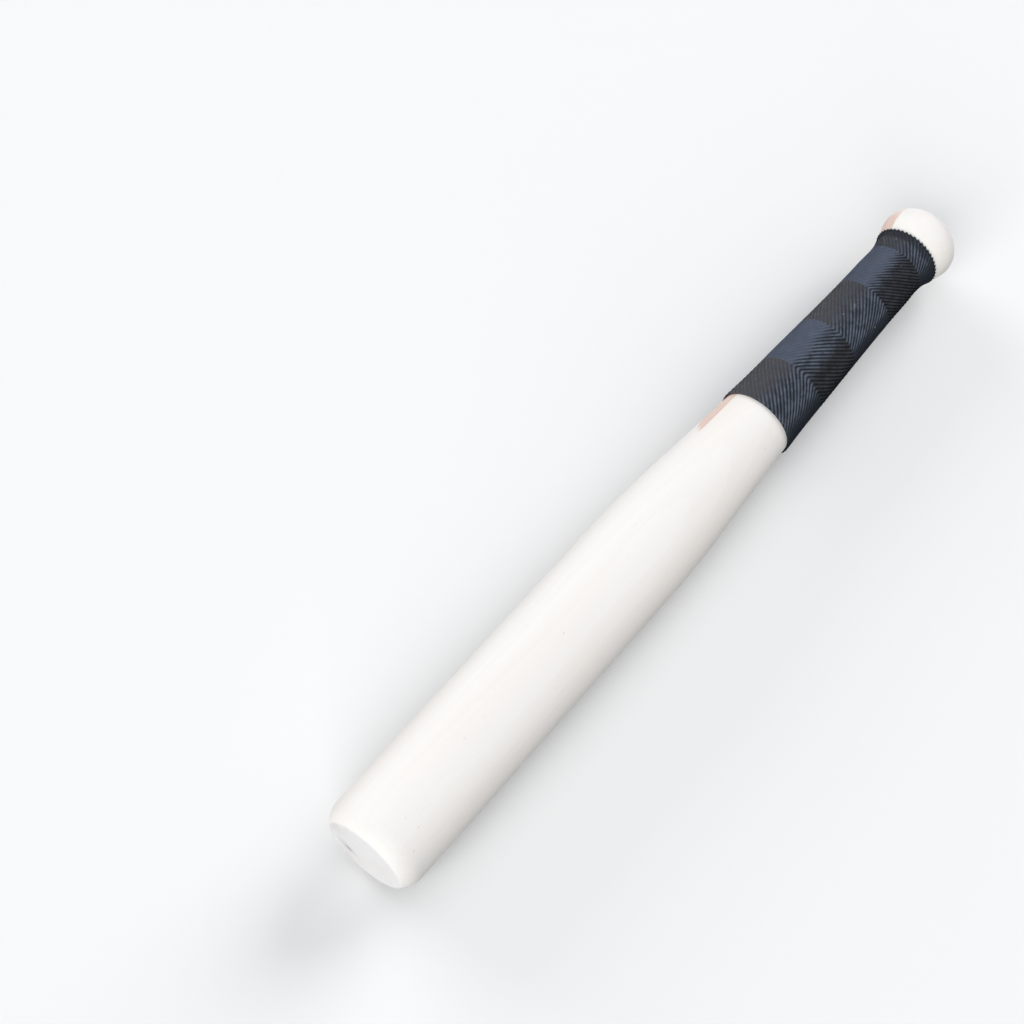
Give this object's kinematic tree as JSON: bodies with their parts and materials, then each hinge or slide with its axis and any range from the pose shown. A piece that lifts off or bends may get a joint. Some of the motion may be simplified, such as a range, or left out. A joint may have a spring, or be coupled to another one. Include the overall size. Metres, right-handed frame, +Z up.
{
  "type": "rounders bat",
  "caption": "Short turned wooden bat with a flat-ended parallel barrel, tapering to a slim handle with a ribbed rubber sleeve and a rounded knob.",
  "frame": {"origin": "on the floor under the middle of the bat's length, below its axis", "axes": "+X along the bat from the flat barrel end to the knob, +Z up, +Y across"},
  "size_m": [0.457, 0.051, 0.0511],
  "materials": {
    "wood": "pale close-grained wood, sanded smooth, thin satin lacquer",
    "tape": "matte cloth-backed adhesive tape",
    "rubber": "matte black moulded rubber with fine ribs"
  },
  "bodies": {
    "root": {"bat_body": "wood", "grip_tape": "tape", "grip_sleeve": "rubber"}
  },
  "joints": []
}
